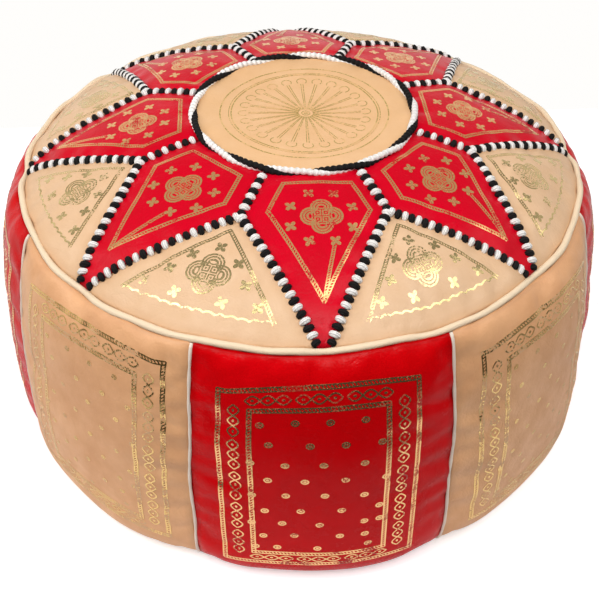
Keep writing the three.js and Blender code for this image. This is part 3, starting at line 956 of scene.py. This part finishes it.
FOIL_ON_RED = foil_on("foil_on_red", (0.95, 0.57, 0.26), (0.45, 0.02, 0.01), 0.82)
FOIL_ON_KITE = foil_on("foil_on_kite", (0.88, 0.47, 0.19), (0.45, 0.02, 0.01), 0.80, 0.62)
FOIL_ON_GUSSET = foil_on("foil_on_gusset", (0.78, 0.60, 0.28), (0.70, 0.46, 0.27), 0.79, 0.82)
FOIL_ON_SIDE = foil_on("foil_on_side", (0.88, 0.60, 0.24), (0.68, 0.40, 0.21), 0.86)
FOIL_ON_MEDALLION = foil_on("foil_on_medallion", (0.62, 0.43, 0.13), (0.72, 0.44, 0.18), 0.90, 0.35)
FOIL_LIFT = 0.00016
FOIL_THICKNESS = 0.00008
FOIL_STEP = 0.0022


class Stamp:
    """Foil shapes drawn flat, then laid on one piece of leather. lay(x, y) gives the place over a flat point,
    and the way down from it to the leather."""

    def __init__(self, leather_piece, lay, turn=0.0, shift=(0, 0)):
        self.bm = bmesh.new()
        self.tree = BVHTree.FromObject(leather_piece, bpy.context.evaluated_depsgraph_get())
        self.lay = lay
        self.spin = Matrix.Translation((*shift, 0)) @ Matrix.Rotation(turn, 4, "Z")

    def line(self, points, width, closed=False):
        """A line of even width through flat points."""
        points = [Vector(p) for p in points]
        if closed:
            points.append(points[0])
        fine = [points[0]]
        for a, b in zip(points, points[1:]):
            steps = max(1, math.ceil((b - a).length / FOIL_STEP))
            fine += [a.lerp(b, (i + 1) / steps) for i in range(steps)]
        last = len(fine) - 1
        strip = bmesh.ops.create_grid(self.bm, x_segments=last, y_segments=1, size=1)["verts"]
        for vert in strip:
            i = round((vert.co.x + 1) / 2 * last)
            before = fine[i - 1] if i else fine[-2 if closed else 0]
            after = fine[i + 1] if i < last else fine[1 if closed else last]
            ahead = (after - before).normalized()
            side = Vector((-ahead.y, ahead.x)) * width / 2
            into = (fine[i] - before).normalized() if i or closed else ahead
            side /= max(0.5, abs(into.dot(ahead)))
            vert.co = (*(fine[i] + side * vert.co.y), 0)
        if closed:
            bmesh.ops.remove_doubles(self.bm, verts=strip, dist=1e-7)

    def spot(self, centre, long, wide, turn=0.0, sides=8):
        """A filled oval."""
        oval = Matrix.Rotation(turn, 4, "Z") @ Matrix.Diagonal((long, wide, 1, 1))
        place = Matrix.Translation((*centre, 0)) @ oval
        bmesh.ops.create_circle(self.bm, cap_ends=True, segments=sides, radius=1, matrix=place)

    def ring(self, centre, long, wide, width, turn=0.0, sides=14):
        c, s = math.cos(turn), math.sin(turn)
        points = []
        for i in range(sides):
            a = 2 * math.pi * i / sides
            x, y = long * math.cos(a), wide * math.sin(a)
            points.append((centre[0] + c * x - s * y, centre[1] + s * x + c * y))
        self.line(points, width, closed=True)

    def hatched(self, points, width, closed=False):
        """A rope-like rule: two thin lines with slanting ticks between them."""
        points = [Vector(p) for p in points]
        ends = points + points[:1] if closed else points
        for a, b in zip(ends, ends[1:]):
            along = (b - a).normalized()
            side = Vector((-along.y, along.x))
            for s in (-0.5, 0.5):
                trim = along * width * 0.45
                self.line([a + side * s * width - trim, b + side * s * width + trim], width * 0.38)
            count = max(1, int((b - a).length / (width * 0.9)))
            for i in range(count):
                middle = a.lerp(b, (i + 0.5) / count)
                tick = (side * 0.42 + along * 0.3) * width
                self.line([middle - tick, middle + tick], width * 0.34)

    def flower(self, centre, size, turn):
        for i in range(4):
            a = turn + i * math.pi / 2 + math.pi / 4
            out = Vector((math.cos(a), math.sin(a)))
            self.spot(Vector(centre) + out * size * 0.58, size * 0.48, size * 0.36, a)
        self.spot(centre, size * 0.2, size * 0.2, sides=6)

    def rosette(self, centre, size, bold):
        """A four-lobed rosette: three bands close together, a loop in each lobe, and four square windows."""
        centre = Vector(centre)
        for share, width in ((1.0, 0.10), (0.86, 0.09), (0.72, 0.08)):
            outline = []
            for lobe in range(4):
                a = lobe * math.pi / 2
                middle = Vector((math.cos(a), math.sin(a))) * size * 0.50
                for i in range(11):
                    b = a + math.radians(-112 + 224 * i / 10)
                    out = Vector((math.cos(b), math.sin(b)))
                    outline.append(centre + middle + out * size * (share - 0.5))
            self.line(outline, size * width * bold, closed=True)
        for lobe in range(4):
            a = lobe * math.pi / 2
            middle = centre + Vector((math.cos(a), math.sin(a))) * size * 0.56
            self.ring(middle, size * 0.11, size * 0.19, size * 0.07 * bold, a, 10)
        corners = [Vector(corner) * size for corner in ((-1, -1), (1, -1), (1, 1), (-1, 1))]
        for corner in corners:
            middle = centre + corner * 0.2
            window = [middle + c * 0.14 for c in corners]
            self.line(window, size * 0.075 * bold, closed=True)
            self.spot(middle, size * 0.06, size * 0.06, sides=6)

    def chain(self, start, end, wide, motifs):
        """Motifs of three linked ovals, each oval with an eye."""
        start, end = Vector(start), Vector(end)
        along = (end - start).normalized()
        side = Vector((-along.y, along.x))
        reach = (end - start).length / motifs
        for m in range(motifs):
            first = start + along * reach * (m + 0.04)
            length = reach * 0.92
            for s in (-1, 1):
                wave = []
                for i in range(25):
                    t = i / 24
                    wave.append(first + along * length * t + side * s * wide * math.sin(3 * math.pi * t))
                self.line(wave, 0.0012)
            for i in range(3):
                eye = first + along * length * (i + 0.5) / 3
                self.spot(eye, 0.0014, 0.0010, math.atan2(along.y, along.x))

    def finish(self, name, material):
        """Lays the flat shapes on the leather."""
        _, inward = self.lay(*self.spin.translation.xy)
        for vert in self.bm.verts:
            flat = self.spin @ vert.co
            above, down = self.lay(flat.x, flat.y)
            hit, normal, _, _ = self.tree.ray_cast(above, down)
            if hit is None:
                hit, normal = above + down * 0.05, -down
            vert.co = hit + (normal if normal.dot(down) < 0 else -normal) * FOIL_LIFT
        self.bm.normal_update()
        for face in self.bm.faces:
            if face.normal.dot(inward) > 0:
                face.normal_flip()
        piece = make_piece(name, self.bm, [material])
        piece.data.shade_flat()
        wall = piece.modifiers.new("thickness", "SOLIDIFY")
        wall.thickness = FOIL_THICKNESS
        wall.offset = -1
        return piece


def over_crown(angle):
    """Flat x is across an axis of the star, and flat y is along it."""

    def lay(x, y):
        spot = turn_to(angle, y, x)
        return settle(spot.x, spot.y) + Vector((0, 0, 0.4)), Vector((0, 0, -1))

    return lay


def over_side(angle, slant):
    """Flat x is round the pouf, and flat y is down from the rim. slant tips the top of the frame."""

    def lay(x, y):
        drawn = min(max((0.08 - y) / 0.05, 0), 1)
        x *= 1 - 0.05 * drawn
        y -= drawn * (0.006 * max(1 - (x / 0.07) ** 2, 0) + slant * x)
        radius, _ = down_side(y)
        spot, out = on_side(angle - x / max(radius, RIM_RADIUS), y)
        return spot + out * 0.05, -out

    return lay


# ---- The stamping on the star ----
# Each kite has a frame, a rosette with eight flowers round it, and a stem to its point. Each gusset has a
# frame that is scalloped along the rim.

stamper = random.Random(21)
KITE_SHIFTS = {0: (0.0030, 0.0010), 7: (0.0010, 0.0)}  # across and along, for two stamped off centre
KITE_FRAME = [(-0.0015, 0.203), (-0.0375, 0.1295), (-0.0255, 0.1015), (0.0255, 0.1015), (0.0375, 0.1295)]
KITE_HEART = Vector((0.001, 0.136))
for k in range(POINTS):
    number = k + 1
    skew = stamper.uniform(-0.05, 0.05)
    shift = KITE_SHIFTS.get(k, (stamper.uniform(-0.001, 0.001), 0))
    stamp = Stamp(cover[f"kite_{number}"], over_crown(k * SECTOR), 0, shift)
    stamp.hatched(KITE_FRAME, 0.0024, True)
    stamp.rosette(KITE_HEART, 0.0152, 1.1)
    for i in range(8):
        a = (i + 0.5) * math.pi / 4 + skew
        round_heart = Vector((math.sin(a) * 0.0245, math.cos(a) * 0.0238))
        stamp.flower(KITE_HEART + round_heart, 0.0046, skew * 3 + stamper.uniform(-0.2, 0.2))
    stamp.hatched([(-0.0003, 0.199), (0.0085, 0.1625)], 0.0021)
    stamp.finish(f"kite_foil_{number}", FOIL_ON_KITE)

    shift = (stamper.uniform(-0.001, 0.001), 0)
    stamp = Stamp(cover[f"gusset_{number}"], over_crown((k + 0.5) * SECTOR), 0, shift)
    stamp.hatched([(-0.0535, 0.2125), (0, 0.156), (0.0535, 0.2125)], 0.0023)
    scallop = []
    for i in range(97):
        t = i / 96
        x = -0.053 + 0.106 * t
        scallop.append((x, 0.2195 - 0.0065 * (2 * t - 1) ** 2 - 0.0013 * abs(math.sin(14 * math.pi * t))))
    stamp.line(scallop, 0.0013)
    stamp.rosette((0, 0.193), 0.0152, 0.85)
    for x, y in ((0, 0.1715), (0.0165, 0.181), (0.027, 0.1945), (0.040, 0.2065), (0.0165, 0.2105)):
        for s in (-1, 1) if x else (1,):
            stamp.flower((s * x, y), 0.0044, stamper.uniform(-0.3, 0.3))
    stamp.finish(f"gusset_foil_{number}", FOIL_ON_GUSSET)

# ---- The stamping on the medallion ----
# A wheel with a hub, looped spokes and two rims.

SPOKES = 24
SPOKE_END = 0.0465
LOOP_MIDDLE = 0.0505
LOOP_RADIUS = 0.0042
stamp = Stamp(cover["medallion"], over_crown(0.02))
stamp.ring((0, 0), 0.0034, 0.0034, 0.0009)
stamp.ring((0, 0), 0.0013, 0.0013, 0.0009, sides=8)
for i in range(SPOKES):
    a = 2 * math.pi * i / SPOKES
    out, side = Vector((math.sin(a), math.cos(a))), Vector((math.cos(a), -math.sin(a)))
    for s in (-1, 1):
        stamp.line([out * 0.006 + side * s * 0.0004, out * SPOKE_END + side * s * 0.0010], 0.0006)
    bends = [math.radians(-40 + 26 * j) for j in range(11)]
    loop = [out * (LOOP_MIDDLE + LOOP_RADIUS * math.sin(b)) + side * LOOP_RADIUS * math.cos(b) for b in bends]
    stamp.line(loop, 0.0007)
for radius, width in ((0.0605, 0.0010), (0.0625, 0.0006), (0.0695, 0.0010)):
    stamp.ring((0, 0), radius, radius, width, sides=96)
stamp.finish("medallion_foil", FOIL_ON_MEDALLION)

# ---- The stamping on the sides ----
# A rope-like frame, a border of linked ovals, a second frame, and staggered rows of dots. Sewing the flat
# cut to the round rim has drawn the top of the frame up in the middle and in at its corners.

OUTER_X, OUTER_TOP, OUTER_END = 0.0745, 0.031, 0.210
INNER_X, INNER_TOP, INNER_END = 0.0510, 0.0475, 0.197
DOT_ROWS = (  # mm across the panel, a row at a time
    (-44, -18, 8, 33), (-37, -7, 20, 46), (-50, -25, 4, 33), (-39, -11, 19, 49), (-50, -26, 5, 33),
    (-41, -13, 17, 46), (-51, -28, 0, 34, 47), (-43, -20, 16, 35), (-50, -33, -2, 38),
)
SIDE_STAMPS = {  # (turn, slant, across, down) of the sides stamped most askew
    0: (-0.008, 0.025, -0.005, 0.0),
    1: (0.0, 0.03, 0.008, -0.005),
    7: (0.0, 0.0, -0.004, -0.002),
}
for k in range(POINTS):
    number = k + 1
    red_side = k % 2 == 0
    loose_turn = stamper.uniform(-0.02, 0.02)
    loose = (loose_turn, 0.0, stamper.uniform(-0.002, 0.002), stamper.uniform(-0.001, 0.001))
    turn, slant, across, down = SIDE_STAMPS.get(k, loose)
    stamp = Stamp(cover[f"side_{number}"], over_side(k * SECTOR, slant), turn, (across, down))
    for x, top, end in ((OUTER_X, OUTER_TOP, OUTER_END), (INNER_X, INNER_TOP, INNER_END)):
        stamp.hatched([(-x, top), (x, top), (x, end), (-x, end)], 0.0030, True)
    cx, top, end = (OUTER_X + INNER_X) / 2, (OUTER_TOP + INNER_TOP) / 2, (OUTER_END + INNER_END) / 2
    for s in (-1, 1):
        stamp.chain((s * cx, top + 0.002), (s * cx, end - 0.002), 0.0042, 5)
    stamp.chain((-cx + 0.007, top), (cx - 0.007, top), 0.0036, 3)
    stamp.chain((-cx + 0.007, end), (cx - 0.007, end), 0.0030, 3)
    for row, places in enumerate(DOT_ROWS):
        for place in places:
            x = place / 1000 + stamper.uniform(-0.001, 0.001)
            y = 0.0590 + row * 0.0188 - 0.00032 * row * row + stamper.uniform(-0.0012, 0.0012)
            size = 1 if red_side else 0.75
            stamp.ring((x, y), 0.0026 * size, 0.0021 * size, 0.0013 * size, sides=12)
            stamp.spot((x, y), 0.0014 * size, 0.0010 * size)
    stamp.finish(f"side_foil_{number}", FOIL_ON_RED if red_side else FOIL_ON_SIDE)

# ---- The base ----
# Two halves of plain leather. Their lips rise to the zip and are stitched to its tapes.

# Its seam colour is painted shade along its edge and the zip's lips.
BASE_LEATHER = leather(
    "base_leather",
    light=(0.74, 0.47, 0.27),
    deep=(0.66, 0.38, 0.2),
    seam_shade=(0.52, 0.28, 0.13),
    polish=(0.55, 0.7),
    grain=0.4,
)
ZIP_RECESS = 0.0095
VALLEY_HALF_WIDTH = 0.034
LIP_HALF_GAP = 0.0065
LIP_END = 0.17
VALLEY_END = LIP_END + VALLEY_HALF_WIDTH
ZIP_STITCH = Vector((0.0016, 0.0005, 0.0004))  # half a stitch's length, width and height
ZIP_STITCHES = 80
ZIP_STITCHED = 0.162


def smooth_step(t):
    t = min(max(t, 0), 1)
    return t * t * (3 - 2 * t)


def recess(x, y):
    across = smooth_step((VALLEY_HALF_WIDTH - abs(y)) / (VALLEY_HALF_WIDTH - LIP_HALF_GAP))
    along = smooth_step((VALLEY_END - abs(x)) / (VALLEY_END - LIP_END))
    return ZIP_RECESS * across * along


for name, side in (("back", 1), ("front", -1)):

    def lie_base(u, v, side=side):
        edge = FOOT_RADIUS - 0.0006
        x = edge * 0.9985 * math.sin(u * math.pi / 2)
        near = 0.0003 + (LIP_HALF_GAP - 0.0003) * smooth_step((LIP_END + 0.0015 - abs(x)) / 0.003)
        far = math.sqrt(edge * edge - x * x)
        share = ((v + 1) / 2) ** 1.8
        y = near + (max(far, near + 0.0004) - near) * share
        distance = max(min(edge - math.hypot(x, y), y - near), 0)
        return Vector((x, side * y, recess(x, y))), Vector((0, 0, -1)), distance

    piece = cut_leather(
        f"base_leather_{name}",
        columns=90,
        rows=30,
        lie=lie_base,
        puff=0,
        reach=0.03,
        sink=0,
        material=BASE_LEATHER,
        node=f"base_half_{name}",
    )
    wall = piece.modifiers.new("thickness", "SOLIDIFY")
    wall.thickness = LEATHER_THICKNESS
    wall.offset = -1

    lips = BVHTree.FromObject(piece, bpy.context.evaluated_depsgraph_get())
    bm = bmesh.new()
    bm.verts.layers.float.new("strand")
    for i in range(ZIP_STITCHES):
        x = ZIP_STITCHED * (2 * i / (ZIP_STITCHES - 1) - 1)
        below = Vector((x, side * (LIP_HALF_GAP + 0.004), -0.01))
        seat = lips.ray_cast(below, Vector((0, 0, 1)))[0]
        turned = Matrix.Rotation(math.pi / 2, 4, "Y")
        made = bmesh.ops.create_uvsphere(bm, u_segments=6, v_segments=4, radius=1, matrix=turned)
        for vert in made["verts"]:
            vert.co = seat + vert.co * ZIP_STITCH
    make_piece(f"zip_stitches_{name}", bm, [WHITE_YARN])

# ---- The zip ----
# Cotton tapes with brass teeth, stops and slider, and a pull that hangs from the slider's bridge.


def metal(name, colour, roughness):
    material = bpy.data.materials.new(name)
    material.use_nodes = True
    tree = material.node_tree
    shader = tree.nodes["Principled BSDF"]
    place = add_node(tree, "ShaderNodeTexCoord").outputs["Object"]
    tarnish = add_node(tree, "ShaderNodeTexNoise")
    tarnish.inputs["Scale"].default_value = 160
    tarnish.inputs["Detail"].default_value = 5
    wire(tree, place, tarnish.inputs["Vector"])
    dull = tuple(c * 0.55 for c in colour)
    bright = map_range(tree, tarnish.outputs["Fac"], 0.35, 0.65)
    wire(tree, mix_colours(tree, bright, dull, colour), shader.inputs["Base Color"])
    rubbed = map_range(tree, tarnish.outputs["Fac"], 0.3, 0.7, roughness + 0.15, roughness)
    wire(tree, rubbed, shader.inputs["Roughness"])
    shader.inputs["Metallic"].default_value = 1
    add_bump(tree, shader, tarnish.outputs["Fac"], 0.15, 0.0002)
    return material


def weave(name, colour, deep, threads):
    """Plain woven cloth, from two crossed sets of threads. Its colour darkens where the threads dip, as
    painted shade between them.
    """
    material = bpy.data.materials.new(name)
    material.use_nodes = True
    tree = material.node_tree
    shader = tree.nodes["Principled BSDF"]
    parts = add_node(tree, "ShaderNodeSeparateXYZ")
    wire(tree, add_node(tree, "ShaderNodeTexCoord").outputs["Object"], parts.inputs[0])
    counts = [arithmetic(tree, "MULTIPLY", parts.outputs[axis], threads) for axis in "XYZ"]
    waves = [arithmetic(tree, "SINE", count) for count in counts]
    flat = arithmetic(tree, "MULTIPLY", waves[0], waves[1])
    crossed = arithmetic(tree, "ADD", flat, arithmetic(tree, "MULTIPLY", waves[2], 0.5))
    # Painted shade: the cloth is darker where its threads dip.
    wire(tree, mix_colours(tree, map_range(tree, crossed, -1, 1), deep, colour), shader.inputs["Base Color"])
    shader.inputs["Roughness"].default_value = 0.9
    add_bump(tree, shader, crossed, 0.5, 0.0002)
    return material


BRASS = metal("brass", (0.62, 0.42, 0.15), 0.28)
TAPE_CLOTH = weave("tape_cloth", (0.62, 0.42, 0.22), (0.45, 0.29, 0.14), 5200)
COTTON = weave("lining_cotton", (0.72, 0.67, 0.56), (0.55, 0.50, 0.41), 3600)


def dress(node, material):
    nodes[node].data.materials.clear()
    nodes[node].data.materials.append(material)


for node in ("zip_tape_back", "zip_tape_front"):
    dress(node, TAPE_CLOTH)
for node in ("zip_teeth_back", "zip_teeth_front", "zip_top_stop_back", "zip_top_stop_front"):
    dress(node, BRASS)
for node in ("zip_bottom_stop", "zip_slider", "zip_pull"):
    dress(node, BRASS)

# ---- Lining and filling ----
# A cotton bag inside the leather, open over the zip, packed with cotton wadding.

bm = bmesh.new()
bm.from_mesh(nodes["lining"].data)
for vert in bm.verts:
    vert.co = Vector((vert.co.x * 0.978, vert.co.y * 0.978, vert.co.z * 0.97 + 0.0002))
make_piece("lining_bag", bm, [COTTON], ["lining"])


def wadding(name):
    material = bpy.data.materials.new(name)
    material.use_nodes = True
    tree = material.node_tree
    shader = tree.nodes["Principled BSDF"]
    fluff = add_node(tree, "ShaderNodeTexNoise")
    fluff.inputs["Scale"].default_value = 90
    fluff.inputs["Detail"].default_value = 8
    wire(tree, add_node(tree, "ShaderNodeTexCoord").outputs["Object"], fluff.inputs["Vector"])
    # The fluff that bumps the wadding also darkens its hollows, as painted shade, and varies its tone at
    # random.
    colour = mix_colours(tree, fluff.outputs["Fac"], (0.62, 0.58, 0.5), (0.86, 0.84, 0.78))
    wire(tree, colour, shader.inputs["Base Color"])
    shader.inputs["Roughness"].default_value = 1
    add_bump(tree, shader, fluff.outputs["Fac"], 0.8, 0.003)
    return material


bm = bmesh.new()
bm.from_mesh(nodes["stuffing"].data)
bmesh.ops.remove_doubles(bm, verts=bm.verts, dist=1e-5)
bmesh.ops.triangulate(bm, faces=bm.faces)
filling = make_piece("wadding_core", bm, [wadding("cotton_wadding")], ["stuffing"])
remesh = filling.modifiers.new("felted", "REMESH")
remesh.mode = "VOXEL"
remesh.voxel_size = 0.008
filled = bpy.data.meshes.new_from_object(filling.evaluated_get(bpy.context.evaluated_depsgraph_get()))
filling.modifiers.clear()
for vert in filled.vertices:
    vert.co = Vector((vert.co.x * 0.972, vert.co.y * 0.972, vert.co.z * 0.965 + 0.001))
    vert.co -= vert.normal * (0.0012 + 0.0012 * noise.noise(vert.co * 30))
filled.shade_smooth()
filling.data = filled
